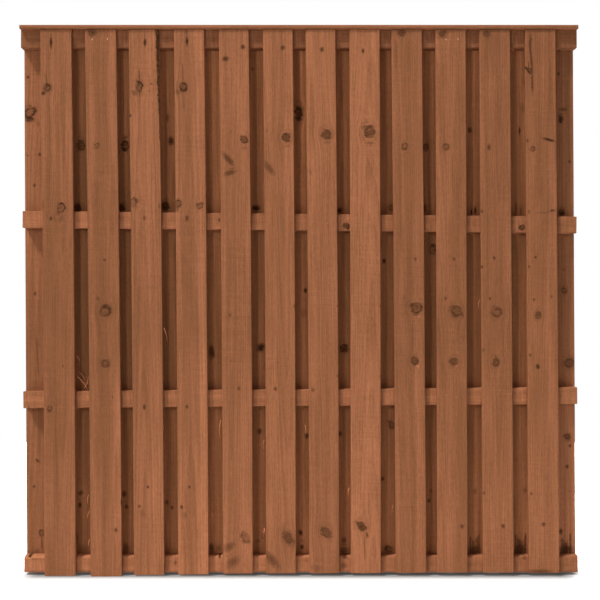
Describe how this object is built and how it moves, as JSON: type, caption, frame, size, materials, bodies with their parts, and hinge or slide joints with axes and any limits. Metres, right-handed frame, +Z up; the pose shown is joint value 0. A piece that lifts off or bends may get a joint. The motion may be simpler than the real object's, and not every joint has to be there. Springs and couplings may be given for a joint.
{
  "type": "hit and miss fence panel",
  "caption": "Square timber fence panel: upright boards on both faces of its rails, each face closing the other's gaps, under a flat capping.",
  "frame": {"origin": "middle of the bottom rail's left end face, seen from the front", "axes": "+X along the panel towards its right end, -Y out of the front boards, +Z up"},
  "size_m": [1.835, 0.078, 1.8051],
  "materials": {
    "front_boards": "sawn softwood, dip treated red brown, matt, with knots, growth rings and fine saw marks",
    "back_boards": "sawn softwood, dip treated red brown, matt, with knots, growth rings and fine saw marks",
    "rails": "sawn softwood, dip treated red brown, matt, with knots, growth rings and fine saw marks",
    "capping": "sawn softwood, dip treated red brown, matt, with knots, growth rings and fine saw marks",
    "nails": "dull galvanised nail heads"
  },
  "bodies": {
    "root": {"capping": "capping", "top_rail": "rails", "upper_rail": "rails", "lower_rail": "rails", "bottom_rail": "rails", "front_board_01": "front_boards", "front_board_02": "front_boards", "front_board_03": "front_boards", "front_board_04": "front_boards", "front_board_05": "front_boards", "front_board_06": "front_boards", "front_board_07": "front_boards", "front_board_08": "front_boards", "front_board_09": "front_boards", "front_board_10": "front_boards", "front_board_11": "front_boards", "front_board_12": "front_boards", "back_board_01": "back_boards", "back_board_02": "back_boards", "back_board_03": "back_boards", "back_board_04": "back_boards", "back_board_05": "back_boards", "back_board_06": "back_boards", "back_board_07": "back_boards", "back_board_08": "back_boards", "back_board_09": "back_boards", "back_board_10": "back_boards", "back_board_11": "back_boards", "back_board_12": "back_boards", "back_board_13": "back_boards"}
  },
  "joints": []
}
